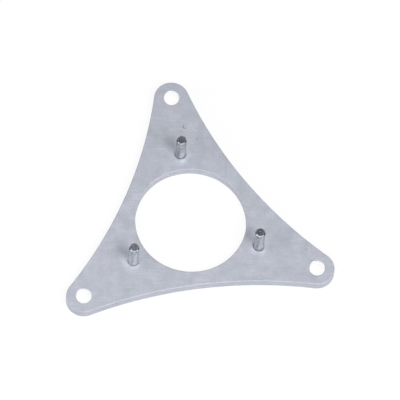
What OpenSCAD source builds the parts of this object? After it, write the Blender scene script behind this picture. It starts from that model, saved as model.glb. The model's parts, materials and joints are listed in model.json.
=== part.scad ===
// Mounting plate for a planetary gearbox: a three-lobed aluminium plate with hollow sides, one
// large central bore, a bolt hole in each lobe, and three steel pins pressed in round the bore
// that locate the gearbox. The origin is on the bore's axis at the plate's back face. The pins
// stand along +Z, and the first lobe points along +Y.

/* [Plate] */
// Thickness of the plate
plate_t = 5; // [3:0.1:10]
// Diameter of the circle through the lobes' centres, which is also the bolt circle
bolt_circle_d = 123.8; // [116:0.1:140]
// Radius of each lobe's round end
lobe_r = 8; // [7:0.1:12]
// Radius of each hollow side, which runs into the lobes without a corner
side_r = 207; // [180:1:400]
// Radius to which tumbling has rounded the plate's outer edges, and width of its openings' broken rims
edge_r = 0.4; // [0.1:0.05:0.8]

/* [Openings] */
// Diameter of the central bore
bore_d = 50.8; // [30:0.1:54]
// Diameter of the bolt hole in each lobe
bolt_hole_d = 6.76; // [3.4:0.01:8.4]

/* [Locating pins] */
// Diameter of the pins
pin_d = 4.76; // [3:0.01:6.4]
// Diameter of the circle on which the pins stand
pin_circle_d = 66.7; // [64:0.1:80]
// Height of the pins above the plate's front face
pin_stand = 15.9; // [4:0.1:30]
// Chamfer at both ends of each pin
pin_chamfer = 0.5; // [0.1:0.05:1]
// Depth of each pin's hidden end inside the plate's back face
pin_recess = 0.2; // [0:0.05:1]
// Gap all round each pin in its hole, which is nothing for a press fit
pin_gap = 0; // [0:0.005:0.05]
// Width of the countersink round each pin on both faces
pin_sink = 0.35; // [0.1:0.05:0.8]

/* [Hidden] */
plate_color = "#b9bec9";
pin_color = "#85888f";
// straight steps in each lobe's end, in each hollow side and in each rounded edge
lobe_steps = 30;
side_steps = 24;
edge_steps = 3;
$fn = 96;
// how far a cutter runs past the face that it opens
past = 1;

lobe_angles = [90, 210, 330];
side_turn = 60;
bolt_circle_r = bolt_circle_d / 2;
pin_circle_r = pin_circle_d / 2;
pin_r = pin_d / 2;
pin_hole_r = pin_r + pin_gap;
// how far the line from a lobe's centre to a side's centre leans from the side's own middle line
side_lean = asin(bolt_circle_r * sin(side_turn) / (side_r + lobe_r));
// distance of a hollow side's centre from the plate's centre, at which the side touches both lobes
side_reach = bolt_circle_r * cos(side_turn) + (side_r + lobe_r) * cos(side_lean);

function polar(r, angle) = r * [cos(angle), sin(angle)];

// the lobe's round end, and the hollow side that follows it anticlockwise, both moved in by inset
function lobe_points(angle, inset) = [
    for (i = [0 : lobe_steps])
        polar(bolt_circle_r, angle)
            + polar(lobe_r - inset, angle + (2 * i / lobe_steps - 1) * (side_turn + side_lean))
];
function side_points(angle, inset) = [
    for (i = [1 : side_steps - 1])
        polar(side_reach, angle + side_turn)
            + polar(side_r + inset, angle + side_turn + 180 + (1 - 2 * i / side_steps) * side_lean)
];
function outline(inset) = [
    for (angle = lobe_angles) each concat(lobe_points(angle, inset), side_points(angle, inset))
];

// a rounded edge as steps of [how far in, how far from the face], from the wall to the face
rounded_edge = [
    for (i = [0 : edge_steps])
        [edge_r * (1 - cos(90 * i / edge_steps)), edge_r * (1 - sin(90 * i / edge_steps))]
];

// a solid whose rings of points, all with the same number, lie one above the other; each end is
// a fan of triangles round the axis, which sees the whole outline
module stacked(rings, low, high) {
    size = len(rings[0]);
    top = len(rings) - 1;
    low_centre = size * len(rings);
    high_centre = low_centre + 1;
    polyhedron(
        points = [for (ring = rings) each ring, [0, 0, low], [0, 0, high]],
        faces = [
            for (i = [0 : size - 1]) [low_centre, i, (i + 1) % size],
            for (level = [0 : top - 1]) for (i = [0 : size - 1]) [
                level * size + i,
                (level + 1) * size + i,
                (level + 1) * size + (i + 1) % size,
                level * size + (i + 1) % size
            ],
            for (i = [0 : size - 1]) [high_centre, top * size + (i + 1) % size, top * size + i]
        ]
    );
}

// the plate before its holes, with its outer edges rounded on both faces
module blank() {
    levels = [
        for (i = [edge_steps : -1 : 0]) rounded_edge[i],
        for (i = [0 : edge_steps]) [rounded_edge[i][0], plate_t - rounded_edge[i][1]]
    ];
    rings = [for (level = levels) [for (p = outline(level[0])) [p[0], p[1], level[1]]]];
    stacked(rings, 0, plate_t);
}

// what a round opening takes away: its bore, and the rim's broken edge on both faces
module opening(r, rim) {
    rotate_extrude() polygon([
        [0, -past],
        [r + rim + past, -past],
        [r, rim],
        [r, plate_t - rim],
        [r + rim + past, plate_t + past],
        [0, plate_t + past]
    ]);
}

module on_circle(r, angle) {
    rotate([0, 0, angle]) translate([r, 0, 0]) children();
}

module mounting_plate() {
    color(plate_color) difference() {
        blank();
        opening(bore_d / 2, edge_r);
        for (angle = lobe_angles) {
            on_circle(bolt_circle_r, angle) opening(bolt_hole_d / 2, edge_r);
            on_circle(pin_circle_r, angle) opening(pin_hole_r, pin_sink);
        }
    }
}

// a ground pin with a chamfer at each end, standing in its own hole
module locating_pin(angle) {
    low = pin_recess;
    high = plate_t + pin_stand;
    color(pin_color) on_circle(pin_circle_r, angle) rotate_extrude() polygon([
        [0, low],
        [pin_r - pin_chamfer, low],
        [pin_r, low + pin_chamfer],
        [pin_r, high - pin_chamfer],
        [pin_r - pin_chamfer, high],
        [0, high]
    ]);
}

mounting_plate();
locating_pin(lobe_angles[0]);  // locating_pin_1
locating_pin(lobe_angles[1]);  // locating_pin_2
locating_pin(lobe_angles[2]);  // locating_pin_3
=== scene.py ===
# %% [markdown]
# A mounting plate for a planetary gearbox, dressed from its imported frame
#
# The object is a flat plate of tumbled aluminium with three lobes and three hollow sides. Three
# steel pins are pressed into it round a large bore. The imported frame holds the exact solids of
# all four pieces. This notebook gives them the small shapes and the finishes of the real ones:
# edges that tumbling has rounded unevenly, dents, turned pin ends, grain, streaks and scratches.

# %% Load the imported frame
import json
import math

import bpy
import numpy as np
from mathutils import Matrix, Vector
from mathutils.geometry import delaunay_2d_cdt


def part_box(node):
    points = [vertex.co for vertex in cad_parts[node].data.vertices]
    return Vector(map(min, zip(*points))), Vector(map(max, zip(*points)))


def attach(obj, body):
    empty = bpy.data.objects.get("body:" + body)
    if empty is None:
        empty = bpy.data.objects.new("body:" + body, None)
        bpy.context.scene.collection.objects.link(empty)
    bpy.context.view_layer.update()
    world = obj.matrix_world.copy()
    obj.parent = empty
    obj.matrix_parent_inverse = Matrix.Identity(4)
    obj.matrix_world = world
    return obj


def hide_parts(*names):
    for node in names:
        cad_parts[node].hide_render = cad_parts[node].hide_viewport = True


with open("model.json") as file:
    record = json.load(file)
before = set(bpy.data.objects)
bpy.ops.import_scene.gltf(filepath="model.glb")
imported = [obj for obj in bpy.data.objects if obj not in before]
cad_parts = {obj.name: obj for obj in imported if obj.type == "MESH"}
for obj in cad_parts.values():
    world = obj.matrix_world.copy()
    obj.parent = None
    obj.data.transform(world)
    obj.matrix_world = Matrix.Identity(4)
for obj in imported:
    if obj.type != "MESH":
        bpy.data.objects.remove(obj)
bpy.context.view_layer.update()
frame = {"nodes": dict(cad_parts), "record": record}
print("nodes:", ", ".join(frame["nodes"]))

# %% [markdown]
# Sizes
#
# Every size that the solids fix is read from the frame, so that the dressed pieces stay on them.
# The plate's hollow sides are the one size that no box or mount states. It follows from the
# narrowest place of the plate, which is measured on the solid's own corners.

# %% Read the sizes from the frame
MM = 0.001
TURN = 2 * math.pi
mounts = {mount["name"]: mount for mount in frame["record"]["mounts"]}
plate_low, plate_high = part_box("mounting_plate")
PLATE_T = plate_high.z
BOLT_CIRCLE_R = mounts["bolt_holes"]["dims"]["pcd_mm"] * MM / 2
BOLT_HOLE_R = mounts["bolt_holes"]["dims"]["hole_r_mm"] * MM
BORE_R = mounts["centre_bore"]["dims"]["r_mm"] * MM
EDGE_R = (PLATE_T - mounts["centre_bore"]["dims"]["length_mm"] * MM) / 2
LOBE_R = plate_high.y - BOLT_CIRCLE_R
LOBE_ANGLES = (90, 210, 330)
SIDE_TURN = 60


def corners_of(node):
    """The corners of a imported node, as rows of x, y and z."""
    mesh = frame["nodes"][node].data
    flat = np.empty(3 * len(mesh.vertices))
    mesh.vertices.foreach_get("co", flat)
    return flat.reshape(-1, 3)


def side_circle(mid_side):
    """Reach and radius of the circle of a hollow side. It touches the lobes' circles from
    outside and passes mid_side from the axis, so reach minus radius is mid_side, and the squared
    distance from its centre to a lobe's is the square of the radius plus the lobe's radius."""
    room = BOLT_CIRCLE_R**2 - (mid_side - LOBE_R) ** 2
    reach = room / (BOLT_CIRCLE_R + 2 * LOBE_R - 2 * mid_side)
    return reach, reach - mid_side


plate_corners = corners_of("mounting_plate")
at_middle = np.abs(plate_corners[:, 0]) < 0.5 * MM
past_bore = plate_corners[:, 1] < -BORE_R - MM
MID_SIDE = -plate_corners[at_middle & past_bore, 1].min()
SIDE_REACH, SIDE_R = side_circle(MID_SIDE)
SIDE_LEAN = math.degrees(
    math.asin(BOLT_CIRCLE_R * math.sin(math.radians(SIDE_TURN)) / (SIDE_R + LOBE_R))
)
print(f"plate {PLATE_T / MM:.2f} mm thick, mid side {MID_SIDE / MM:.2f}, side {SIDE_R / MM:.1f}")

# %% Read the pins' sizes
PIN_NODES = ("locating_pin_1", "locating_pin_2", "locating_pin_3")
pin_boxes = [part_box(name) for name in PIN_NODES]
PIN_R = max(high.x - low.x for low, high in pin_boxes) / 2
PIN_LOW = pin_boxes[0][0].z
PIN_HIGH = pin_boxes[0][1].z
pin_centres = [
    np.array([(low.x + high.x) / 2, (low.y + high.y) / 2]) for low, high in pin_boxes
]


def radii_at(corners, height, centre):
    """Distances from an upright line through the centre, of the corners at a height."""
    level = np.abs(corners[:, 2] - height) < 0.001 * MM
    return np.linalg.norm(corners[level, :2] - centre, axis=1)


# The pin's flat end is as wide as its top ring, and the countersink's rim is the ring of the
# plate's front face that lies nearest to the pin.
PIN_CHAMFER = PIN_R - radii_at(corners_of(PIN_NODES[0]), PIN_HIGH, pin_centres[0]).max()
PIN_SINK = radii_at(plate_corners, PLATE_T, pin_centres[0]).min() - PIN_R
print(f"pins {2 * PIN_R / MM:.2f} mm thick, up to z {PIN_HIGH / MM:.1f} mm")
print(f"chamfer {PIN_CHAMFER / MM:.2f} mm, countersink {PIN_SINK / MM:.2f} mm")

# %% [markdown]
# Camera
#
# The photograph looks down on the front face through a long lens, so that far and near lobes are
# almost alike in size. The camera is given by where it looks from: a turn round the object, a
# height above the horizon and a small roll. The object's centre lies off the picture's middle,
# and the camera moves sideways by as much instead of turning, which keeps the view's direction.

# %% Place the camera
PICTURE_PX = 400
SPIN = math.radians(13.45)
ELEVATION = math.radians(66.10)
ROLL = math.radians(-5.62)
CENTRE_PX = (190.84, 220.23)
PX_PER_MM = 2.191
CAMERA_DISTANCE = 2.527
SENSOR_MM = 36


def camera_axes():
    """Right, up and backward directions of the camera. They start as those of a camera that
    looks along +Y from its height, are turned about Z by minus the spin, and then rolled."""
    right = np.array([1.0, 0.0, 0.0])
    back = np.array([0.0, -math.cos(ELEVATION), math.sin(ELEVATION)])
    up = np.array([0.0, math.sin(ELEVATION), math.cos(ELEVATION)])
    turned = np.array(Matrix.Rotation(-SPIN, 3, "Z"))
    right, up, back = turned @ right, turned @ up, turned @ back
    rolled_right = math.cos(ROLL) * right - math.sin(ROLL) * up
    rolled_up = math.sin(ROLL) * right + math.cos(ROLL) * up
    return rolled_right, rolled_up, back


cam_right, cam_up, cam_back = camera_axes()
off_right = (CENTRE_PX[0] - PICTURE_PX / 2) / PX_PER_MM * MM
off_up = (PICTURE_PX / 2 - CENTRE_PX[1]) / PX_PER_MM * MM
front_centre = np.array([0.0, 0.0, PLATE_T])
camera_place = front_centre + CAMERA_DISTANCE * cam_back - off_right * cam_right - off_up * cam_up

camera = bpy.data.objects.new("camera", bpy.data.cameras.new("camera"))
camera.data.sensor_width = SENSOR_MM
camera.data.lens = PX_PER_MM / MM * CAMERA_DISTANCE * SENSOR_MM / PICTURE_PX
camera.data.clip_end = 20
placed = np.eye(4)
placed[:3, 0], placed[:3, 1], placed[:3, 2], placed[:3, 3] = cam_right, cam_up, cam_back, camera_place
camera.matrix_world = Matrix(placed.tolist())
bpy.context.collection.objects.link(camera)
bpy.context.scene.camera = camera
print(f"camera lens {camera.data.lens:.0f} mm at", np.round(camera_place, 3))

# %% [markdown]
# Light
#
# The pins throw a soft shadow to the upper left and a fainter one to the right, so two soft boxes
# stand in front of the object, the stronger one on the right. An area lamp's light on a surface
# falls with the square of the distance, and both stand near, which leaves the front lobes a
# little lighter than the rear one. Their strength is given as the share of a plain level at which
# a matt colour renders as it is written, and turned into watts.


# %% Hang the soft boxes
def soft_box(name, turn, height, distance, size, share):
    """An area lamp that faces the plate. turn is in degrees from the camera's right towards its
    front, height in degrees above the floor. A lamp of P watts at a distance d lights a flat
    surface to P cos(a) / (pi squared d squared) times its colour, which is solved for P."""
    right, front = cam_right[:2], -cam_up[:2]
    right, front = right / np.linalg.norm(right), front / np.linalg.norm(front)
    flat = math.cos(math.radians(turn)) * right + math.sin(math.radians(turn)) * front
    rise = math.radians(height)
    towards = np.array([*(math.cos(rise) * flat / np.linalg.norm(flat)), math.sin(rise)])
    lamp = bpy.data.lights.new(name, "AREA")
    lamp.shape = "SQUARE"
    lamp.size = size
    lamp.energy = share * math.pi**2 * distance**2 / math.sin(rise)
    holder = bpy.data.objects.new(name, lamp)
    across = np.cross([0.0, 0.0, 1.0], towards)
    across /= np.linalg.norm(across)
    grid = np.eye(4)
    grid[:3, 0], grid[:3, 1], grid[:3, 2] = across, np.cross(towards, across), towards
    grid[:3, 3] = distance * towards
    holder.matrix_world = Matrix(grid.tolist())
    holder.visible_camera = False
    bpy.context.collection.objects.link(holder)
    print(f"{name}: {lamp.energy:.2f} W at {np.round(distance * towards, 2)}")


soft_box("key_light", turn=50, height=56, distance=1.05, size=0.47, share=0.61)
soft_box("fill_light", turn=165, height=42, distance=0.42, size=0.3, share=0.25)

# %% [markdown]
# Shader helpers
#
# A material here is a small graph of nodes. Two helpers keep its lines short: one adds a node and
# sets its values, the other wires an output to an input. Effects that more than one metal uses
# are node groups, which put out plain values and leave the shader itself to each material.


# %% Node helpers
def add(tree, kind, settings=None, **values):
    """Adds a node of a kind, sets its properties from settings, and its inputs from values,
    whose names are the sockets' names in small letters with underscores."""
    node = tree.nodes.new(kind)
    for key, value in (settings or {}).items():
        setattr(node, key, value)
    for key, value in values.items():
        socket_named(node.inputs, key).default_value = value
    return node


def socket_named(sockets, key):
    """The first enabled socket whose name, in small letters with underscores, is the key."""
    for socket in sockets:
        if socket.enabled and socket.name.lower().replace(" ", "_") == key:
            return socket
    raise KeyError(key)


# %% Group and math helpers
def new_group(name, inputs, outputs):
    """A node group with float or vector inputs and value outputs, and its two end nodes."""
    tree = bpy.data.node_groups.new(name, "ShaderNodeTree")
    for label, (kind, value) in inputs.items():
        socket = tree.interface.new_socket(label, in_out="INPUT", socket_type=kind)
        if kind == "NodeSocketFloat":
            socket.default_value = value
    for label in outputs:
        tree.interface.new_socket(label, in_out="OUTPUT", socket_type="NodeSocketFloat")
    return tree, tree.nodes.new("NodeGroupInput"), tree.nodes.new("NodeGroupOutput")


def place_group(tree, group, **values):
    """Places a node group in a material and sets its inputs."""
    node = tree.nodes.new("ShaderNodeGroup")
    node.node_tree = group
    for key, value in values.items():
        socket_named(node.inputs, key).default_value = value
    return node


def math_node(tree, operation, first, second=0.0, clamp=False):
    """A Math node whose two inputs are numbers or outputs."""
    node = add(tree, "ShaderNodeMath", {"operation": operation, "use_clamp": clamp})
    for slot, given in enumerate((first, second)):
        if isinstance(given, (int, float)):
            node.inputs[slot].default_value = given
        else:
            tree.links.new(given, node.inputs[slot])
    return node.outputs[0]


def weighted_sum(tree, start, *terms):
    """start plus the sum of each term's output times its weight."""
    total = start
    for output, weight in terms:
        total = math_node(tree, "ADD", math_node(tree, "MULTIPLY", output, weight), total)
    return total


print("helpers for nodes, groups and sums are ready")

# %% [markdown]
# Floor
#
# The photograph is cut out on pure white. The floor and the world are plain white where the
# camera looks at them, and metal reflects that white too. A little of the floor's own shading is
# mixed in, so that it keeps a faint shadow of the object, and the object doesn't seem to float.

# %% Build the floor
FLOOR_HALF = 4.0
FLOOR_GAP = 0.02 * MM
FLOOR_GREY = (0.8, 0.8, 0.8, 1)
WHITE_SHARE = 0.9
NEAR_FLOOR, FAR_FLOOR = 0.07, 0.37
NEAR_SHINE, FAR_SHINE = 1.018, 1.1


def sees_background(tree):
    """1 for rays of the camera, reflections and clear materials, else 0."""
    path = add(tree, "ShaderNodeLightPath")
    seen = math_node(tree, "MAXIMUM", path.outputs["Is Camera Ray"], path.outputs["Is Glossy Ray"])
    return math_node(tree, "MAXIMUM", seen, path.outputs["Is Transmission Ray"])


def floor_shine(tree):
    """The strength of the floor's white. Near the object it is just enough to make the lit floor
    white, so that a shadow shows, and it grows outwards, where the lamps reach less."""
    distance = add(tree, "ShaderNodeVectorMath", {"operation": "LENGTH"})
    tree.links.new(add(tree, "ShaderNodeTexCoord").outputs["Object"], distance.inputs[0])
    past_near = math_node(tree, "SUBTRACT", distance.outputs["Value"], NEAR_FLOOR)
    far = math_node(tree, "DIVIDE", past_near, FAR_FLOOR - NEAR_FLOOR, clamp=True)
    return weighted_sum(tree, NEAR_SHINE, (far, FAR_SHINE - NEAR_SHINE))


def floor_material():
    """A white matt floor that shines plain white for the rays that see the background."""
    material = bpy.data.materials.new("studio_floor")
    material.use_nodes = True
    tree = material.node_tree
    tree.nodes.clear()
    matt = add(tree, "ShaderNodeBsdfDiffuse", color=FLOOR_GREY)
    white = add(tree, "ShaderNodeEmission", color=(1, 1, 1, 1))
    tree.links.new(floor_shine(tree), white.inputs["Strength"])
    mixed = add(tree, "ShaderNodeMixShader")
    out = add(tree, "ShaderNodeOutputMaterial")
    tree.links.new(math_node(tree, "MULTIPLY", sees_background(tree), WHITE_SHARE), mixed.inputs[0])
    tree.links.new(matt.outputs[0], mixed.inputs[1])
    tree.links.new(white.outputs[0], mixed.inputs[2])
    tree.links.new(mixed.outputs[0], out.inputs["Surface"])
    return material


floor_mesh = bpy.data.meshes.new("studio_floor")
floor_ends = FLOOR_HALF * np.array([(-1, -1), (1, -1), (1, 1), (-1, 1)])
floor_mesh.from_pydata([(x, y, -FLOOR_GAP) for x, y in floor_ends.tolist()], [], [(0, 1, 2, 3)])
floor_mesh.materials.append(floor_material())
floor = bpy.data.objects.new("studio_floor", floor_mesh)
bpy.context.collection.objects.link(floor)
print(f"floor {2 * FLOOR_HALF:.0f} m wide")

# %% [markdown]
# Surroundings that metal mirrors
#
# In an all white room bright metal has no outline. Photographers set a dark card beside it, which
# shows as thin dark lines along its edges and gives rounds their form. The card stands low round
# the sides and the rear. Past it the room is dim for the light that it sends, and plain white for
# the rays that see it.

# %% Stand a dark card round the sides and the rear
CARD_RADIUS = 0.5
CARD_HEIGHT = 0.19
CARD_ENDS = (-20, 200)
CARD_STEPS = 40
CARD_BLACK = (0.02, 0.02, 0.022, 1)


def dark_card():
    """A black matt strip, bent round the object from its right over the rear to its left. Bright
    metal mirrors it as the thin dark lines that set off its edges. The camera looks through it."""
    heading = math.degrees(math.atan2(cam_right[1], cam_right[0]))
    angles = np.radians(heading + np.linspace(*CARD_ENDS, CARD_STEPS))
    low = np.stack([CARD_RADIUS * np.cos(angles), CARD_RADIUS * np.sin(angles), 0 * angles], axis=1)
    high = low + [0, 0, CARD_HEIGHT]
    first = np.arange(CARD_STEPS - 1)
    faces = np.stack([first + 1, first, first + CARD_STEPS, first + CARD_STEPS + 1], axis=1)
    mesh = bpy.data.meshes.new("studio_card")
    mesh.from_pydata(np.concatenate([low, high]).tolist(), [], faces.tolist())
    material = bpy.data.materials.new("studio_card")
    material.use_nodes = True
    shader = material.node_tree.nodes["Principled BSDF"]
    shader.inputs["Base Color"].default_value = CARD_BLACK
    shader.inputs["Roughness"].default_value = 0.9
    mesh.materials.append(material)
    card = bpy.data.objects.new("studio_card", mesh)
    card.visible_camera = False
    bpy.context.collection.objects.link(card)


dark_card()
print(f"card {CARD_HEIGHT:.2f} m high at {CARD_RADIUS:.2f} m")

# %% Build the world
world = bpy.data.worlds.new("studio")
bpy.context.scene.world = world
world.use_nodes = True
world_tree = world.node_tree
world_tree.nodes.clear()
dim_room = add(world_tree, "ShaderNodeBackground", color=(0.96, 0.98, 1.0, 1), strength=0.3)
white_room = add(world_tree, "ShaderNodeBackground", color=(1, 1, 1, 1), strength=1.0)
room_mix = add(world_tree, "ShaderNodeMixShader")
room_out = add(world_tree, "ShaderNodeOutputWorld")
world_tree.links.new(sees_background(world_tree), room_mix.inputs[0])
world_tree.links.new(dim_room.outputs[0], room_mix.inputs[1])
world_tree.links.new(white_room.outputs[0], room_mix.inputs[2])
world_tree.links.new(room_mix.outputs[0], room_out.inputs["Surface"])
bpy.context.scene.view_settings.view_transform = "Standard"
print("the world is white for the camera and dim for the light")

# %% [markdown]
# The plate's outline and holes as closed loops
#
# The plate is a sheet with one outline and seven round openings. Each of them is a closed loop of
# points with the direction into the metal at every point. All loops run with the metal on their
# left, so that one function can carry a profile along any of them and its faces point outwards.


# %% Loops of points
def arc(centre, radius, start, end, steps):
    """Points at a radius from a centre, at `steps` equal angles from start up to but without
    end, in degrees, and the outward direction at each."""
    angles = np.radians(np.linspace(start, end, steps, endpoint=False))
    directions = np.stack([np.cos(angles), np.sin(angles)], axis=1)
    return centre + radius * directions, directions


def polar(radius, angle):
    """The point at a radius and an angle in degrees."""
    return radius * np.array([math.cos(math.radians(angle)), math.sin(math.radians(angle))])


def outline_loop(lobe_steps, side_steps):
    """The outline, anticlockwise. Each lobe is an arc about its own centre that leans past a
    third of a turn, and each hollow side is an arc about a centre outside the plate, run back."""
    points, inward = [], []
    for lobe in LOBE_ANGLES:
        reach = SIDE_TURN + SIDE_LEAN
        place, out = arc(polar(BOLT_CIRCLE_R, lobe), LOBE_R, lobe - reach, lobe + reach, lobe_steps)
        points.append(place)
        inward.append(-out)
        side = lobe + SIDE_TURN
        place, out = arc(
            polar(SIDE_REACH, side), SIDE_R, side + 180 + SIDE_LEAN, side + 180 - SIDE_LEAN, side_steps
        )
        points.append(place)
        inward.append(out)
    return np.concatenate(points), np.concatenate(inward)


def hole_loop(centre, radius, steps):
    """A round opening's rim, clockwise, with the directions into the metal round it."""
    return arc(centre, radius, 360, 0, steps)


def along(points):
    """Distance along a closed loop at each point, and once more where it closes."""
    steps = np.linalg.norm(np.roll(points, -1, axis=0) - points, axis=1)
    return np.concatenate([[0.0], np.cumsum(steps)])


outline = outline_loop(lobe_steps=36, side_steps=160)
bore = hole_loop(np.zeros(2), BORE_R, 240)
bolt_centres = [polar(BOLT_CIRCLE_R, lobe) for lobe in LOBE_ANGLES]
bolt_holes = [hole_loop(centre, BOLT_HOLE_R, 72) for centre in bolt_centres]
pin_holes = [hole_loop(centre, PIN_R, 72) for centre in pin_centres]
print(f"outline of {len(outline[0])} points, {along(outline[0])[-1] / MM:.1f} mm round")

# %% [markdown]
# How far a point lies inside the metal
#
# The face between the rims needs its own points, and its dents have to fade out before they reach
# a rim. Both need the distance from any point to the nearest edge. The plate is the same in all
# six half lobes, so a point is first folded into one of them, where the outline is two arcs.


# %% Distance to the nearest edge
def fold(points):
    """Turns and mirrors points into the half of a lobe from angle 0 to 60 degrees."""
    radius = np.hypot(points[:, 0], points[:, 1])
    angle = np.degrees(np.arctan2(points[:, 1], points[:, 0])) - LOBE_ANGLES[0]
    angle = np.abs((angle + SIDE_TURN) % (2 * SIDE_TURN) - SIDE_TURN)
    return radius[:, None] * np.stack([np.cos(np.radians(angle)), np.sin(np.radians(angle))], axis=1)


def depth_inside(points):
    """Distance from each point to the nearest edge of the plate, negative outside the metal. In
    the lobe's end it is the lobe's radius less the distance to the lobe's centre, elsewhere the
    distance to the side's centre less the side's radius; a hole's is measured from its rim."""
    folded = fold(points)
    from_lobe = folded - polar(BOLT_CIRCLE_R, 0)
    from_side = folded - polar(SIDE_REACH, SIDE_TURN)
    bearing = np.degrees(np.arctan2(from_lobe[:, 1], from_lobe[:, 0]))
    in_end = bearing < SIDE_TURN + SIDE_LEAN
    lobe_depth = LOBE_R - np.linalg.norm(from_lobe, axis=1)
    side_depth = np.linalg.norm(from_side, axis=1) - SIDE_R
    depth = np.where(in_end, lobe_depth, side_depth)
    openings = [(np.zeros(2), BORE_R)]
    openings += [(centre, BOLT_HOLE_R) for centre in bolt_centres]
    openings += [(centre, PIN_R) for centre in pin_centres]
    for centre, radius in openings:
        depth = np.minimum(depth, np.linalg.norm(points - centre, axis=1) - radius)
    return depth


print(f"depth on a lobe's line: {depth_inside(np.array([[0.0, 45 * MM]]))[0] / MM:.2f} mm")

# %% [markdown]
# Rims that tumbling has worn
#
# Tumbling rolls the plate among stones until its sharp edges are round. The radius is never quite
# even, and here and there an edge took a knock. So the rounding is a quarter circle whose radius
# wanders along the loop, and grows for a millimetre or so where a knock is. The section of a rim
# runs from the front face round the edge, down the wall and round the rear edge.

# %% Wandering edge radius
WANDER_SHARE = 0.13
LARGEST_ROUNDING = 0.62 * MM
KNOCK_WIDTHS_MM = (0.4, 1.1)
KNOCK_DEPTHS_MM = (0.05, 0.16)


def wander(turn, seed, lowest, highest):
    """A smooth random curve on a closed loop, from -1 to 1: sine waves that fit a whole number of
    times, from lowest to highest, into one turn, with random phases and falling heights."""
    random = np.random.default_rng(seed)
    waves = np.arange(lowest, highest + 1)
    phases = random.uniform(0, TURN, len(waves))
    heights = random.normal(size=len(waves)) / np.sqrt(waves)
    curve = (heights * np.sin(TURN * turn[:, None] * waves + phases)).sum(axis=1)
    return curve / np.abs(curve).max()


def worn_radius(points, seed, knocks, finest=90):
    """The edge radius at each point of a loop: the plain one, wandering by a share of itself,
    plus a bell curve for each knock at a random place, with a random width and depth."""
    place = along(points)
    length = place[-1]
    turn = place[:-1] / length
    radius = EDGE_R * (1 + WANDER_SHARE * wander(turn, seed, 3, finest))
    random = np.random.default_rng(seed + 1)
    for _ in range(knocks):
        away = np.abs(place[:-1] - random.uniform(0, length))
        away = np.minimum(away, length - away)
        width = random.uniform(*KNOCK_WIDTHS_MM) * MM
        radius += random.uniform(*KNOCK_DEPTHS_MM) * MM * np.exp(-((away / width) ** 2))
    return np.minimum(radius, LARGEST_ROUNDING)


print(f"edges rounded to {EDGE_R / MM:.2f} mm, and never past {LARGEST_ROUNDING / MM:.2f} mm")

# %% Section of a rim
ROUND_STEPS = 6
WALL_STEPS = 5
FACE_MARGIN = 0.15 * MM
WALL_RIPPLE = 0.012 * MM


def rim_section(front_radius, rear_radius, ripple):
    """How far in and how high each ring of a rim lies, for every point of its loop. On a
    quarter circle of radius e, at angle a from the wall, it is e (1 - cos a) in and e (1 - sin a)
    from the face. The wall's rings lie between, moved in by the ripple of the cut."""
    angles = np.linspace(90, 0, ROUND_STEPS + 1)
    cos, sin = np.cos(np.radians(angles)), np.sin(np.radians(angles))
    front_in = front_radius[:, None] * (1 - cos)
    front_high = PLATE_T - front_radius[:, None] * (1 - sin)
    rear_in = rear_radius[:, None] * (1 - cos[::-1])
    rear_high = rear_radius[:, None] * (1 - sin[::-1])
    share = np.linspace(0, 1, WALL_STEPS + 2)[1:-1]
    wall_high = front_high[:, -1:] * (1 - share) + rear_high[:, :1] * share
    face_in = np.full((len(front_radius), 1), LARGEST_ROUNDING + FACE_MARGIN)
    inset = np.concatenate([face_in, front_in, ripple, rear_in, face_in], axis=1)
    flat_front = np.full_like(face_in, PLATE_T)
    height = np.concatenate([flat_front, front_high, wall_high, rear_high, 0 * face_in], axis=1)
    return inset, height


def rim_wear_and_sheen():
    """The wear of each ring, from 0 on a face or wall to 1 in the middle of a rounded edge, and
    how much of it is wall. The wear lightens the edge a trace, as a painted highlight."""
    bell = np.sin(np.radians(np.linspace(20, 160, ROUND_STEPS + 1)))
    wear_and_sheen = np.concatenate([[0.0], bell, np.zeros(WALL_STEPS), bell, [0.0]])
    slope = np.linspace(0, 1, ROUND_STEPS + 1)
    wall = np.concatenate([[0.0], slope, np.ones(WALL_STEPS), slope[::-1], [0.0]])
    return wear_and_sheen, wall


def wall_ripple(points, seed):
    """The unevenness of a cut wall, at each point and wall ring: one wandering curve for each
    ring, never outside the true outline."""
    place = along(points)
    turn = place[:-1] / place[-1]
    curves = [wander(turn, seed + ring, 8, 140) for ring in range(WALL_STEPS)]
    return WALL_RIPPLE * (1 + np.stack(curves, axis=1)) / 2


print(f"a rim's section has {len(rim_wear_and_sheen()[0])} rings")

# %% Make the rims
SINK_SOFT = 0.06 * MM
SINK_BELOW_MM = (0, 0.01, 0.05, 0.14, 0.2)
# Painted shade deep in the countersink round each pin, where the pin meets the plate.
SINK_SHADE = (0, 0, 0, 0.2, 0.45)


def worn_rim(loop, seed, knocks, drilled=0.0):
    """A rim's rings, as rows of points by columns of rings, and the values that its corners
    carry: wear with a trace of painted highlight, share of wall, how bright a drill left that wall,
    and painted shade."""
    points, inward = loop
    front = worn_radius(points, seed, knocks)
    rear = worn_radius(points, seed + 7, knocks)
    inset, height = rim_section(front, rear, wall_ripple(points, seed + 20))
    flat = points[:, None, :] + inset[:, :, None] * inward[:, None, :]
    corners = np.concatenate([flat, height[:, :, None]], axis=2)
    wear_and_sheen, wall = rim_wear_and_sheen()
    ones = np.ones((len(points), 1))
    values = {"wear_and_sheen": wear_and_sheen, "wall": wall, "drilled": wall * drilled, "painted_shade": 0 * wall}
    return corners, {label: ones * value for label, value in values.items()}


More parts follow.
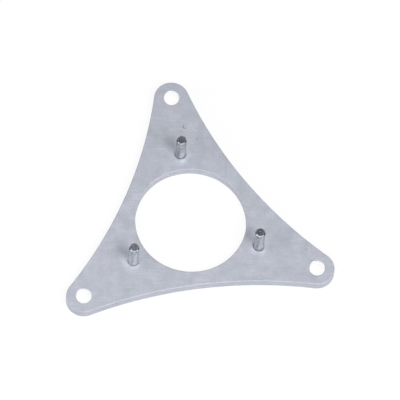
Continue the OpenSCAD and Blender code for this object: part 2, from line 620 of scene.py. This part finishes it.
def sunk_rim(loop):
    """The rim of a pin's hole: a short cone on each face, as a drill's lip leaves it, and a
    straight wall between, which the pin hides. The rear half of the section is the front half,
    mirrored, and painted shade lies deep in both."""
    points, inward = loop
    front = np.array([
        LARGEST_ROUNDING + FACE_MARGIN, PIN_SINK + SINK_SOFT, PIN_SINK - SINK_SOFT, SINK_SOFT, 0
    ])
    below = np.array(SINK_BELOW_MM) * MM
    inset = np.concatenate([front, front[::-1]])
    height = np.concatenate([PLATE_T - below, below[::-1]])
    flat = points[:, None, :] + inset[None, :, None] * inward[:, None, :]
    high = np.tile(height, (len(points), 1))
    corners = np.concatenate([flat, high[:, :, None]], axis=2)
    painted_shade = np.ones((len(points), 1)) * (SINK_SHADE + SINK_SHADE[::-1])
    return corners, {"wear_and_sheen": 0 * painted_shade, "wall": 0 * painted_shade, "drilled": 0 * painted_shade, "painted_shade": painted_shade}


rims = [worn_rim(outline, seed=11, knocks=34), worn_rim(bore, seed=31, knocks=9)]
rims += [
    worn_rim(loop, seed=51 + 40 * number, knocks=2, drilled=1.0)
    for number, loop in enumerate(bolt_holes)
]
rims += [sunk_rim(loop) for loop in pin_holes]
print(len(rims), "rims,", sum(grid[..., 0].size for grid, _ in rims), "corners")

# %% [markdown]
# The two faces and their marks
#
# A tumbled face isn't perfectly flat. It waves by a few microns and carries shallow dents. Close
# to the upper pin a small crescent-shaped mark is pressed in, and two pits lie near the pins.
# Points on a grid of triangles carry this relief. Round each mark they lie much closer, on rings,
# so that the mark has a true shape. A constrained triangulation joins them all to the rims.

# %% Relief of a face
CRESCENT = np.array([4.1, 46.9]) * MM
PITS = np.array([[8.5, 40.0], [50.1, -21.0]]) * MM
PIT_RADIUS = 0.45 * MM
PIT_DEPTH = 0.07 * MM
CRESCENT_RADIUS = 0.85 * MM
CRESCENT_WIDTH = 0.26 * MM
CRESCENT_DEPTH = 0.13 * MM
CRESCENT_FACES = 200
WAVE_HEIGHT = 0.006 * MM
WAVE_COUNT = 30
DENT_COUNT = 150
DENT_FIELD_MM = ((-60, -37), (60, 68))


def waves(points, seed, count, shortest, longest):
    """Random gentle waves from -1 to 1: plane sine waves with random directions and lengths."""
    random = np.random.default_rng(seed)
    heading = random.uniform(0, TURN, count)
    length = random.uniform(shortest, longest, count)
    phase = random.uniform(0, TURN, count)
    run = points @ np.stack([np.cos(heading), np.sin(heading)]) / length
    return np.sin(TURN * run + phase).sum(axis=1) / math.sqrt(2 * count)


def dents(points, seed, count):
    """How deep the small dents are: for each, a bell curve of random place, width and depth."""
    random = np.random.default_rng(seed)
    places = random.uniform(*DENT_FIELD_MM, (count, 2)) * MM
    widths = random.uniform(0.5, 1.5, count) * MM
    depths = random.uniform(0.004, 0.02, count) * MM
    away = np.linalg.norm(points[:, None, :] - places[None, :, :], axis=2)
    return (depths * np.exp(-((away / widths) ** 2))).sum(axis=1)


def crescent(points):
    """How deep the crescent mark is: a groove along a circle, deepest towards the lower left and
    gone on the upper right, with a bell curve as its section."""
    away = points - CRESCENT
    radius = np.linalg.norm(away, axis=1)
    facing = away @ polar(1, CRESCENT_FACES) / np.maximum(radius, 1e-9)
    groove = np.exp(-(((radius - CRESCENT_RADIUS) / CRESCENT_WIDTH) ** 2))
    return groove * np.clip(0.6 + 0.8 * facing, 0, 1)


def pits(points):
    """How deep the two pits are, as bell curves from 0 to 1."""
    away = np.linalg.norm(points[:, None, :] - PITS[None, :, :], axis=2)
    return np.exp(-((away / PIT_RADIUS) ** 2)).sum(axis=1)


def relief(points, front):
    """The height of a face's points above its plane, fading out towards every edge."""
    seed = 401 if front else 501
    height = WAVE_HEIGHT * waves(points, seed, WAVE_COUNT, 6 * MM, 25 * MM)
    height -= dents(points, seed + 1, DENT_COUNT)
    if front:
        height -= CRESCENT_DEPTH * crescent(points) + PIT_DEPTH * pits(points)
    fade = np.clip((depth_inside(points) - LARGEST_ROUNDING - FACE_MARGIN) / MM, 0, 1)
    return height * fade


print(f"crescent {CRESCENT_DEPTH / MM:.2f} mm deep, {len(PITS)} pits, {DENT_COUNT} dents a face")

# %% Points inside a face
GRID_STEP = 0.62 * MM
RING_STEP = 0.11 * MM


def grid_points():
    """A grid of equal triangles over the plate's box, kept where it lies well inside the metal."""
    rows = np.arange(plate_low.y, plate_high.y, GRID_STEP * math.sin(math.radians(60)))
    columns = np.arange(plate_low.x, plate_high.x, GRID_STEP)
    shifted = columns[None, :] + GRID_STEP / 2 * (np.arange(len(rows)) % 2)[:, None]
    grid = np.stack([shifted, np.broadcast_to(rows[:, None], shifted.shape)], axis=2).reshape(-1, 2)
    return grid[depth_inside(grid) > LARGEST_ROUNDING + FACE_MARGIN + 0.5 * GRID_STEP]


def rings_round(centre, reach, ring_step):
    """Points on rings round a mark, with as many on each ring as keep their distance even."""
    points = [centre[None, :]]
    for radius in np.arange(ring_step, reach, ring_step):
        count = max(6, round(TURN * radius / ring_step))
        points.append(arc(centre, radius, 0, 360, count)[0])
    return np.concatenate(points)


def inner_points(front):
    """The face's own points: the grid, with rings in its place round each mark of the front."""
    points = grid_points()
    if not front:
        return points
    patches = [(CRESCENT, 1.6 * MM)] + [(pit, MM) for pit in PITS]
    for centre, reach in patches:
        points = points[np.linalg.norm(points - centre, axis=1) > reach + 0.4 * GRID_STEP]
    rings = [rings_round(centre, reach, RING_STEP) for centre, reach in patches]
    return np.concatenate([points, *rings])


print(f"{len(inner_points(True))} points in front, {len(inner_points(False))} at the rear")

# %% Fill a face between its rims
def fill(rim_points, points):
    """Triangles over a face. Each rim's ring is kept as a chain of edges, and triangles whose
    middle isn't in the metal are left out. Corners are numbered rims first, then points."""
    chains, start = [], 0
    for ring in rim_points:
        number = start + np.arange(len(ring))
        chains.append(np.stack([number, np.roll(number, -1)], axis=1))
        start += len(ring)
    corners = np.concatenate([*rim_points, points]) / MM
    found = delaunay_2d_cdt(
        [tuple(corner) for corner in corners.tolist()],
        np.concatenate(chains).tolist(), [], 0, 1e-6, True,
    )
    original = np.array([numbers[0] for numbers in found[3]])
    triangles = original[np.array(found[2])]
    middles = corners[triangles].mean(axis=1) * MM
    return triangles[depth_inside(middles) > LARGEST_ROUNDING + FACE_MARGIN]


print(f"a face is filled up to {(LARGEST_ROUNDING + FACE_MARGIN) / MM:.2f} mm from each edge")

# %% [markdown]
# One closed mesh for the plate
#
# The rims' rings and the faces' triangles share their corners, so the plate is one closed surface.
# Its corners carry plain numbers for the material, such as wear and grime, and a UV map unrolls
# the walls, so that the lines of the cut follow them.


# %% Faces and unrolled places of a strip
def strip_faces(start, count, rings):
    """Four-sided faces between neighbouring rings of a closed strip whose corners are numbered
    point by point: from each corner down to the next ring, along, and back up."""
    point, ring = np.meshgrid(np.arange(count), np.arange(rings - 1), indexing="ij")
    following = (point + 1) % count
    here = start + point * rings + ring
    there = start + following * rings + ring
    return np.stack([here, here + 1, there + 1, there], axis=2).reshape(-1, 4)


def strip_uv(corners):
    """The unrolled places of a strip's faces' corners: along the loop, and down the section."""
    count, rings = corners.shape[:2]
    run = along(corners[:, rings // 2, :2])
    down = np.linalg.norm(np.diff(corners, axis=1), axis=2)
    down = np.concatenate([np.zeros((count, 1)), np.cumsum(down, axis=1)], axis=1)
    down = np.concatenate([down, down[:1]])
    point, ring = np.meshgrid(np.arange(count), np.arange(rings - 1), indexing="ij")
    places = [(point, ring), (point, ring + 1), (point + 1, ring + 1), (point + 1, ring)]
    uv = [np.stack([run[p], down[p, r]], axis=-1) for p, r in places]
    return np.stack(uv, axis=2).reshape(-1, 2)


print(f"a strip of 4 points and 2 rings has {len(strip_faces(0, 4, 2))} faces")

# %% From arrays to an object
def make_piece(name, corners, quads, triangles, corner_uv, values):
    """A smooth mesh object at the origin, from numpy arrays. values are named numbers, one for
    each corner."""
    mesh = bpy.data.meshes.new(name)
    mesh.from_pydata(corners.tolist(), [], quads.tolist() + triangles.tolist())
    unrolled = mesh.uv_layers.new(name="unrolled")
    unrolled.uv.foreach_set("vector", corner_uv.astype(np.float32).ravel())
    for label, numbers in values.items():
        layer = mesh.attributes.new(label, "FLOAT", "POINT")
        layer.data.foreach_set("value", numbers.astype(np.float32))
    mesh.polygons.foreach_set("use_smooth", np.ones(len(mesh.polygons), dtype=bool))
    mesh.validate()
    piece = bpy.data.objects.new(name, mesh)
    bpy.context.collection.objects.link(piece)
    triangle_count = 2 * len(quads) + len(triangles)
    print(f"{name}: {len(corners)} corners, {triangle_count} triangles")
    return piece


# %% Values at the plate's corners
# The painted pool of light round the pins spreads this far.
PIN_LIGHT_WIDTH = 2.5 * MM
# Painted shade in the crescent mark and in the pits.
CRESCENT_SHADE = 0.8
PIT_SHADE = 0.5


def rim_values(label, total):
    """One of the rims' values for all corners: the faces' own points, which come last, have 0."""
    values = np.zeros(total)
    of_rims = np.concatenate([rim[1][label].ravel() for rim in rims])
    values[: len(of_rims)] = of_rims
    return values


def painted_light_round_pins(corners):
    """How much painted light lies on the front face round the pins, a painted pool of light, as a
    bell curve from each pin's side outwards."""
    away = np.linalg.norm(corners[:, None, :2] - np.array(pin_centres)[None, :, :], axis=2) - PIN_R
    bell = np.exp(-((np.maximum(away, 0) / PIN_LIGHT_WIDTH) ** 2)).max(axis=1)
    return bell * (corners[:, 2] > PLATE_T / 2)


def plate_values(corners):
    """All the values of the plate's corners, by name. Painted shade lies in the rims of the pins'
    holes and in the marks.
    """
    labels = ("wear_and_sheen", "wall", "drilled", "painted_shade")
    values = {label: rim_values(label, len(corners)) for label in labels}
    values["painted_pin_light"] = painted_light_round_pins(corners)
    flat = corners[:, :2]
    shade_in_marks = CRESCENT_SHADE * crescent(flat) + PIT_SHADE * pits(flat)
    shade_in_marks *= corners[:, 2] > PLATE_T / 2
    values["painted_shade"] = np.clip(values["painted_shade"] + shade_in_marks, 0, 1)
    return values


# The front face round each pin gets painted light.
print(f"the front face is rubbed some {PIN_LIGHT_WIDTH / MM:.1f} mm round each pin")

# %% Put the plate together
def face_of_plate(front, starts, total):
    """A face's own corners, and its triangles. Corners are numbered through the whole plate: a
    rim's from its start, point by point, and the face's own from total. Seen from below, the
    rear's triangles run the other way round."""
    ring = 0 if front else -1
    ring_numbers = [
        start + np.arange(len(grid)) * grid.shape[1] + ring % grid.shape[1]
        for (grid, _), start in zip(rims, starts)
    ]
    points = inner_points(front)
    found = fill([grid[:, ring, :2] for grid, _ in rims], points)
    numbers = np.concatenate([*ring_numbers, total + np.arange(len(points))])
    triangles = numbers[found] if front else numbers[found][:, ::-1]
    height = PLATE_T + relief(points, True) if front else -relief(points, False)
    return np.column_stack([points, height]), triangles


def build_plate():
    """The plate's mesh: all rims first, then the front face's points, then the rear face's."""
    rim_corners = [grid.reshape(-1, 3) for grid, _ in rims]
    starts = np.concatenate([[0], np.cumsum([len(part) for part in rim_corners])])
    quads = [strip_faces(start, *grid.shape[:2]) for (grid, _), start in zip(rims, starts)]
    front, front_triangles = face_of_plate(True, starts, starts[-1])
    rear, rear_triangles = face_of_plate(False, starts, starts[-1] + len(front))
    corners = np.concatenate([*rim_corners, front, rear])
    triangles = np.concatenate([front_triangles, rear_triangles])
    face_uv = corners[triangles.ravel(), :2]
    uv = np.concatenate([*(strip_uv(grid) for grid, _ in rims), face_uv])
    values = plate_values(corners)
    return make_piece("tumbled_plate", corners, np.concatenate(quads), triangles, uv, values)


plate = build_plate()
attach(plate, "root")
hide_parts("mounting_plate")

# %% [markdown]
# The locating pins
#
# A dowel pin is ground round and cut to length. Its end was turned: a centre mark, fine rings, a
# flat face and a chamfer. A pin is a profile of radius and height, spun about its axis. Corners
# of the profile give way to short curves, because a real edge is never sharp. The three ends
# aren't turned alike: one shows clear rings, one faint ones, and one is almost as it was sawn.
# Each pin also has a number for how much lighter its side is painted, which is painted light, and
# one for the painted shade at its foot.

# %% Profile of a pin
CENTRE_MARK_R = 0.45 * MM
CENTRE_MARK_DEEP = 0.2 * MM
TURNED_STEP = 1.1 * MM
TURNED_DEEP = 0.03 * MM
SOFT_EDGE = 0.07 * MM
END_STEP = 0.04 * MM


def softened(profile, steps=4):
    """A profile whose inner corners are rounded. Each corner P gives way to the curve
    (1-t)^2 A + 2t(1-t) P + t^2 B, where A and B lie a short way from P on its two sides."""
    points = [profile[:1]]
    t = np.linspace(0, 1, steps)[:, None]
    for before, corner, after in zip(profile[:-2], profile[1:-1], profile[2:]):
        first = corner + (before - corner) * min(0.45, SOFT_EDGE / np.linalg.norm(before - corner))
        last = corner + (after - corner) * min(0.45, SOFT_EDGE / np.linalg.norm(after - corner))
        points.append((1 - t) ** 2 * first + 2 * t * (1 - t) * corner + t**2 * last)
    points.append(profile[-1:])
    return np.concatenate(points)


def pin_profile(turned):
    """Radius and height down a pin: the centre mark and the fine rings of the end, as deep as it
    was turned, the chamfer, the ground side in steps, the lower chamfer and the hidden end."""
    flat_r = PIN_R - PIN_CHAMFER
    radius = np.arange(0, flat_r - 0.06 * MM, END_STEP)
    mark = CENTRE_MARK_DEEP * turned * np.clip(1 - radius / CENTRE_MARK_R, 0, 1)
    ring = TURNED_DEEP * turned * (1 - np.cos(TURN * radius / TURNED_STEP)) / 2
    face = np.stack([radius, PIN_HIGH - mark - ring * (radius > CENTRE_MARK_R)], axis=1)
    shoulder = PIN_HIGH - PIN_CHAMFER
    end = np.array([face[-1], [flat_r, PIN_HIGH], [PIN_R, shoulder], [PIN_R, shoulder - 0.1 * MM]])
    ankle = PIN_LOW + PIN_CHAMFER + 0.2 * MM
    near = np.linspace(shoulder - 0.1 * MM, shoulder - 1.5 * MM, 15)
    side = np.concatenate([near, np.linspace(near[-1] - 0.3 * MM, ankle, 20)])
    side = np.stack([np.full_like(side, PIN_R), side], axis=1)
    foot = np.array([
        [PIN_R, ankle], [PIN_R, PIN_LOW + PIN_CHAMFER],
        [flat_r, PIN_LOW], [flat_r / 2, PIN_LOW], [0, PIN_LOW],
    ])
    return np.concatenate([face[:-1], softened(end)[:-1], side[:-1], softened(foot)])


print(f"a pin's profile has {len(pin_profile(1.0))} points")

# %% Spin the pins
PIN_SPIN_STEPS = 96
# Painted shade: a band under the chamfer, and for some pins a bell curve of the height at the foot.
SHADE_BAND_BELOW = 0.55 * MM
SHADE_BAND_WIDTH = 0.4 * MM
FOOT_SHADE_HIGH = 4 * MM
TURNED = (0.45, 0.15, 1.0)
# Painted light: how much lighter each pin's side is painted.
PIN_SIDE_LIGHT = (-0.05, 0.15, 0.02)
# Painted shade at each pin's foot.
FOOT_SHADE = (0.5, 0.0, 0.5)


def pin_values(corners, centre, turned, painted_side_light, foot_shade):
    """The values of a pin's corners, by name: distance from the axis, whether they are the
    end's or the chamfer's, how clearly the end is turned, how much lighter the side is painted as
    painted light, and painted shade in a band under the chamfer and, as a bell curve of the
    height, at the foot."""
    from_axis = np.linalg.norm(corners[:, :2] - centre, axis=1)
    in_end = from_axis < PIN_R - PIN_CHAMFER + 0.02 * MM
    end = (corners[:, 2] > PIN_HIGH - 0.5 * PIN_CHAMFER) & in_end
    chamfer = (corners[:, 2] > PIN_HIGH - PIN_CHAMFER - 0.01 * MM) & ~end
    above = corners[:, 2] - (PIN_HIGH - PIN_CHAMFER - SHADE_BAND_BELOW)
    soot = np.exp(-((above / SHADE_BAND_WIDTH) ** 2))
    soot += foot_shade * np.exp(-(((corners[:, 2] - PLATE_T) / FOOT_SHADE_HIGH) ** 2))
    return {
        "from_axis": from_axis,
        "end": end.astype(float),
        "chamfer": chamfer.astype(float),
        "turned": np.full(len(corners), turned),
        "painted_side_light": np.full(len(corners), painted_side_light),
        "soot": soot * (from_axis > PIN_R - 0.1 * MM),
    }


def build_pin(name, centre, turn, turned, *finish_and_light):
    """A pin's mesh: its profile spun about the pin's axis, with one corner at each pole. The
    last arguments are how much painted light lies on its side and the painted shade at its foot."""
    profile = pin_profile(turned)
    inner = profile[1:-1]
    angles = np.linspace(0, TURN, PIN_SPIN_STEPS, endpoint=False) + turn
    round_way = np.stack([np.cos(angles), np.sin(angles)], axis=1)
    flat = centre + inner[None, :, :1] * round_way[:, None, :]
    high = np.broadcast_to(inner[None, :, 1:], (PIN_SPIN_STEPS, len(inner), 1))
    body = np.concatenate([flat, high], axis=2)
    poles = np.array([[*centre, profile[0, 1]], [*centre, profile[-1, 1]]])
    corners = np.concatenate([body.reshape(-1, 3), poles])
    quads = strip_faces(0, PIN_SPIN_STEPS, len(inner))
    first = np.arange(PIN_SPIN_STEPS) * len(inner)
    top, foot = len(corners) - 2, len(corners) - 1
    cap = np.stack([np.full(PIN_SPIN_STEPS, top), first, np.roll(first, -1)], axis=1)
    last = first + len(inner) - 1
    base = np.stack([np.full(PIN_SPIN_STEPS, foot), np.roll(last, -1), last], axis=1)
    triangles = np.concatenate([cap, base])
    uv = np.concatenate([strip_uv(body), np.zeros((3 * len(triangles), 2))])
    values = pin_values(corners, centre, turned, *finish_and_light)
    return make_piece(name, corners, quads, triangles, uv, values)


pins = []
pin_finishes_and_light = zip(PIN_NODES, pin_centres, TURNED, PIN_SIDE_LIGHT, FOOT_SHADE)
for number, (node, centre, *finish_and_light) in enumerate(pin_finishes_and_light, start=1):
    pin = build_pin(f"ground_pin_{number}", centre, number * TURN / 5, *finish_and_light)
    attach(pin, "root")
    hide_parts(node)
    pins.append(pin)

# %% [markdown]
# Effects that both metals share
#
# Clouds are soft patches where the finish is a little lighter or darker. Lines are long thin
# marks, such as the streaks of rolling and the scratches of handling. Both come from noise: plain
# noise for the patches, and for the lines noise that is stretched along one direction, of which
# only the highest values are kept, broken up by a second, coarser noise.


# %% Clouds
def build_clouds():
    """Noise of a given patch size in metres, spread to about -1 to 1."""
    inputs = {
        "Place": ("NodeSocketVector", None),
        "Size": ("NodeSocketFloat", 0.01),
        "Detail": ("NodeSocketFloat", 3.0),
    }
    tree, given, result = new_group("clouds", inputs, ["Tone"])
    noise = add(tree, "ShaderNodeTexNoise")
    tree.links.new(given.outputs["Place"], noise.inputs["Vector"])
    tree.links.new(math_node(tree, "DIVIDE", 1.0, given.outputs["Size"]), noise.inputs["Scale"])
    tree.links.new(given.outputs["Detail"], noise.inputs["Detail"])
    spread = math_node(tree, "MULTIPLY", math_node(tree, "SUBTRACT", noise.outputs[0], 0.5), 5.0)
    tree.links.new(spread, result.inputs["Tone"])
    return tree


CLOUDS = build_clouds()


def clouds(tree, place, size, detail=3.0):
    """The tone of a placed clouds group."""
    node = place_group(tree, CLOUDS, size=size, detail=detail)
    tree.links.new(place, node.inputs["Place"])
    return node.outputs["Tone"]


print("group:", CLOUDS.name)


# %% Lines
def build_lines():
    """Thin lines along X: noise of a given length and width in metres, kept above a level, and
    broken up by noise as long as the lines."""
    inputs = {
        "Place": ("NodeSocketVector", None),
        "Length": ("NodeSocketFloat", 0.02),
        "Width": ("NodeSocketFloat", 0.0002),
        "Level": ("NodeSocketFloat", 0.6),
    }
    tree, given, result = new_group("lines", inputs, ["Mask"])
    squeeze = add(tree, "ShaderNodeCombineXYZ")
    tree.links.new(math_node(tree, "DIVIDE", 1.0, given.outputs["Length"]), squeeze.inputs["X"])
    for way in ("Y", "Z"):
        tree.links.new(math_node(tree, "DIVIDE", 1.0, given.outputs["Width"]), squeeze.inputs[way])
    stretched = add(tree, "ShaderNodeVectorMath", {"operation": "MULTIPLY"})
    tree.links.new(given.outputs["Place"], stretched.inputs[0])
    tree.links.new(squeeze.outputs[0], stretched.inputs[1])
    fine = add(tree, "ShaderNodeTexNoise", scale=1.0, detail=1.0)
    tree.links.new(stretched.outputs[0], fine.inputs["Vector"])
    above = math_node(tree, "SUBTRACT", fine.outputs[0], given.outputs["Level"])
    kept = math_node(tree, "MULTIPLY", above, 14.0, clamp=True)
    coarse = add(tree, "ShaderNodeTexNoise", detail=1.0)
    tree.links.new(given.outputs["Place"], coarse.inputs["Vector"])
    tree.links.new(math_node(tree, "DIVIDE", 1.5, given.outputs["Length"]), coarse.inputs["Scale"])
    lasting = math_node(tree, "SUBTRACT", coarse.outputs[0], 0.42)
    broken = math_node(tree, "MULTIPLY", lasting, 6.0, clamp=True)
    tree.links.new(math_node(tree, "MULTIPLY", kept, broken), result.inputs["Mask"])
    return tree


LINES = build_lines()


def lines(tree, place, turn, length, width, level):
    """The mask of a placed lines group, whose lines run at an angle to X in degrees."""
    turned = add(tree, "ShaderNodeMapping")
    turned.inputs["Rotation"].default_value = (0, 0, math.radians(-turn))
    tree.links.new(place, turned.inputs["Vector"])
    node = place_group(tree, LINES, length=length, width=width, level=level)
    tree.links.new(turned.outputs[0], node.inputs["Place"])
    return node.outputs["Mask"]


print("group:", LINES.name)


# %% Helpers for a finish
def pressed(tree, place, sizes):
    """A place divided by a size in metres along each direction, so that noise of size 1 gets
    patches of those sizes."""
    node = add(tree, "ShaderNodeVectorMath", {"operation": "MULTIPLY"})
    node.inputs[1].default_value = [1 / size for size in (*sizes, 1.0)[:3]]
    tree.links.new(place, node.inputs[0])
    return node.outputs[0]


def plain_colour(tree, colour):
    """A constant colour as an output."""
    node = add(tree, "ShaderNodeRGB")
    node.outputs[0].default_value = colour
    return node.outputs[0]


def attribute(tree, label):
    """A named value that the mesh carries at its corners."""
    return add(tree, "ShaderNodeAttribute", {"attribute_name": label}).outputs["Fac"]


def mix_colour(tree, factor, first, second):
    """A colour between two: each is a tuple or an output, and factor is an output."""
    node = add(tree, "ShaderNodeMix", {"data_type": "RGBA", "clamp_factor": True})
    tree.links.new(factor, socket_named(node.inputs, "factor"))
    for key, given in (("a", first), ("b", second)):
        if isinstance(given, tuple):
            socket_named(node.inputs, key).default_value = given
        else:
            tree.links.new(given, socket_named(node.inputs, key))
    return socket_named(node.outputs, "result")


def toned(tree, colour, tone):
    """A colour made lighter or darker: multiplied by a tone that is 1 where nothing changes."""
    node = add(tree, "ShaderNodeVectorMath", {"operation": "SCALE"})
    tree.links.new(colour, node.inputs[0])
    tree.links.new(tone, socket_named(node.inputs, "scale"))
    return node.outputs[0]


def bumped(tree, height, distance, strength=1.0):
    """The normal of a surface with a relief: height times a distance in metres."""
    node = add(tree, "ShaderNodeBump", strength=strength, distance=distance)
    tree.links.new(height, node.inputs["Height"])
    return node.outputs["Normal"]


print("helpers for places, colours, tones and relief are ready")

# %% [markdown]
# Tumbled aluminium
#
# Tumbling leaves a matt, bluish light grey with soft patches, a fine grain of tiny dents and, on
# rolled stock, faint streaks. Handling adds short bright scratches. The pins' countersinks and the
# marks are darker with painted shade. The cut walls are painted lighter, as painted light on the
# sides, with lines along the cut, and the rounded edges carry their wear with a trace of painted
# highlight. The walls of the bolt holes were drilled, so they are bright and mirror the floor. A
# painted pool of light lies on the face round the pins, lighter on some patches than on others.
# All of it is one tone, by which the metal's colour is multiplied.

# %% The plate's material
BLUISH, LILAC = (0.423, 0.452, 0.508, 1), (0.446, 0.452, 0.515, 1)
FRESHLY_DRILLED = (0.96, 0.965, 0.97, 1)


def tumbled_aluminium():
    """The plate's finish, from Object coordinates, the unrolled UV map and the corners' values."""
    material = bpy.data.materials.new("tumbled_aluminium")
    material.use_nodes = True
    tree = material.node_tree
    shader = tree.nodes["Principled BSDF"]
    place = add(tree, "ShaderNodeTexCoord").outputs["Object"]
    unrolled = add(tree, "ShaderNodeUVMap", {"uv_map": "unrolled"}).outputs[0]
    wear_and_sheen, wall, drilled = (attribute(tree, label) for label in ("wear_and_sheen", "wall", "drilled"))
    painted_shade, painted_pin_light = attribute(tree, "painted_shade"), attribute(tree, "painted_pin_light")

    wide = clouds(tree, place, 0.022)
    patches = clouds(tree, place, 0.0045)
    grain = clouds(tree, place, 0.0005, 2.0)
    tint = clouds(tree, place, 0.009)
    streaks = lines(tree, place, 82, 0.02, 0.0006, 0.5)
    cross_streaks = lines(tree, place, -8, 0.011, 0.00045, 0.5)
    scratches = lines(tree, place, 35, 0.006, 0.00012, 0.645)
    scratches_back = lines(tree, place, 118, 0.008, 0.0001, 0.63)
    cut_lines = clouds(tree, pressed(tree, unrolled, (0.02, 0.0004)), 1.0, 2.0)

    pin_light_patches = weighted_sum(tree, 0.95, (patches, 0.4))
    # In this tone the darkening of the pins' countersinks and of the marks is painted shade, the
    # lighter walls are painted light on the sides, the edges' wear adds a trace of painted highlight,
    # and the lighter face round the pins is a painted pool of light.
    tone = weighted_sum(
        tree, 0.947, (wide, 0.012), (patches, 0.065), (grain, 0.1), (streaks, 0.025),
        (cross_streaks, 0.09), (scratches, 0.16), (scratches_back, 0.14), (painted_shade, -0.55),
        (math_node(tree, "MULTIPLY", cut_lines, wall), 0.06), (wall, 0.21), (wear_and_sheen, 0.01),
        (math_node(tree, "MULTIPLY", painted_pin_light, pin_light_patches), 0.31),
    )
    warm = math_node(tree, "ADD", math_node(tree, "MULTIPLY", tint, 0.5), 0.5, clamp=True)
    metal = mix_colour(tree, warm, BLUISH, LILAC)
    metal = mix_colour(tree, drilled, toned(tree, metal, tone), FRESHLY_DRILLED)
    tree.links.new(metal, shader.inputs["Base Color"])

    tree.links.new(weighted_sum(tree, 0.4, (drilled, 0.6)), shader.inputs["Metallic"])
    roughness = weighted_sum(
        tree, 0.52, (patches, 0.03), (grain, 0.04), (wear_and_sheen, 0.1), (scratches, -0.1), (painted_shade, 0.15),
        (drilled, -0.42),
    )
    tree.links.new(roughness, shader.inputs["Roughness"])
    height = weighted_sum(
        tree, 0.0, (grain, 0.35), (patches, 0.5), (scratches, -0.5), (scratches_back, -0.5),
    )
    tree.links.new(bumped(tree, height, 0.02 * MM), shader.inputs["Normal"])
    return material


plate.data.materials.append(tumbled_aluminium())
print(len(plate.data.materials[0].node_tree.nodes), "nodes make the plate's finish")

# %% [markdown]
# Ground steel
#
# The pins' sides were ground, so fine lines run round them, over longer ones from the drawing of
# the wire. The chamfer is painted lighter as a painted highlight, and a band under it is darker
# with painted shade. The ends are painted dark as a painted dark reflection, with painted shade in
# rings and in a darker centre mark where they were turned, and lighter with the saw's lines where not.

# %% The pins' material
SIDE_STEEL = (0.47, 0.48, 0.50, 1)
# The chamfer's lighter steel is a painted highlight.
CHAMFER_HIGHLIGHT_STEEL = (0.52, 0.54, 0.59, 1)
# The ends' dark steel is a painted dark reflection.
END_DARK_REFLECTION = (0.098, 0.104, 0.122, 1)


def ground_steel():
    """The pins' finish, from Object coordinates, the unrolled UV map and the corners' values."""
    material = bpy.data.materials.new("ground_steel")
    material.use_nodes = True
    tree = material.node_tree
    shader = tree.nodes["Principled BSDF"]
    place = add(tree, "ShaderNodeTexCoord").outputs["Object"]
    unrolled = add(tree, "ShaderNodeUVMap", {"uv_map": "unrolled"}).outputs[0]
    end, soot = attribute(tree, "end"), attribute(tree, "soot")
    from_axis, turned = attribute(tree, "from_axis"), attribute(tree, "turned")
    painted_side_light = attribute(tree, "painted_side_light")

    patches = clouds(tree, place, 0.0016)
    grain = clouds(tree, place, 0.0005, 2.0)
    drawn = clouds(tree, pressed(tree, unrolled, (0.0009, 0.009)), 1.0, 2.0)
    ground = clouds(tree, pressed(tree, unrolled, (0.004, 0.0003)), 1.0, 2.0)
    sawn = clouds(tree, pressed(tree, place, (0.0004, 0.004, 0.004)), 1.0, 1.0)
    wave = math_node(tree, "COSINE", math_node(tree, "MULTIPLY", from_axis, TURN / TURNED_STEP))
    rings = math_node(tree, "MULTIPLY", wave, turned)
    unturned = math_node(tree, "SUBTRACT", 1.0, turned)
    from_mark = math_node(tree, "DIVIDE", from_axis, CENTRE_MARK_R)
    mark = math_node(tree, "MULTIPLY", math_node(tree, "SUBTRACT", 1.0, from_mark, clamp=True), turned)

    # The side's tone holds each pin's painted light, and painted shade under the chamfer and at the
    # foot.
    side_tone = weighted_sum(
        tree, 1.0, (patches, 0.2), (drawn, 0.3), (ground, 0.2), (grain, 0.1), (soot, -0.45),
        (painted_side_light, 1.0),
    )
    # The end's rings and its centre mark are darkened as painted shade.
    end_tone = weighted_sum(
        tree, 1.0, (patches, 0.3), (grain, 0.35), (rings, -0.5), (mark, -0.6),
        (math_node(tree, "MULTIPLY", sawn, unturned), 0.4),
        (math_node(tree, "POWER", unturned, 3.0), 0.8),
    )
    steel = mix_colour(tree, attribute(tree, "chamfer"), SIDE_STEEL, CHAMFER_HIGHLIGHT_STEEL)
    side = toned(tree, steel, side_tone)
    painted_dark_end = toned(tree, plain_colour(tree, END_DARK_REFLECTION), end_tone)
    tree.links.new(mix_colour(tree, end, side, painted_dark_end), shader.inputs["Base Color"])

    shader.inputs["Metallic"].default_value = 1.0
    roughness = weighted_sum(tree, 0.22, (patches, 0.04), (ground, 0.03), (end, 0.2), (soot, 0.1))
    tree.links.new(roughness, shader.inputs["Roughness"])
    height = weighted_sum(tree, 0.0, (ground, 0.3), (grain, 0.2))
    tree.links.new(bumped(tree, height, 0.01 * MM), shader.inputs["Normal"])
    return material


pin_steel = ground_steel()
for pin in pins:
    pin.data.materials.append(pin_steel)
print(len(pin_steel.node_tree.nodes), "nodes make the pins' finish")
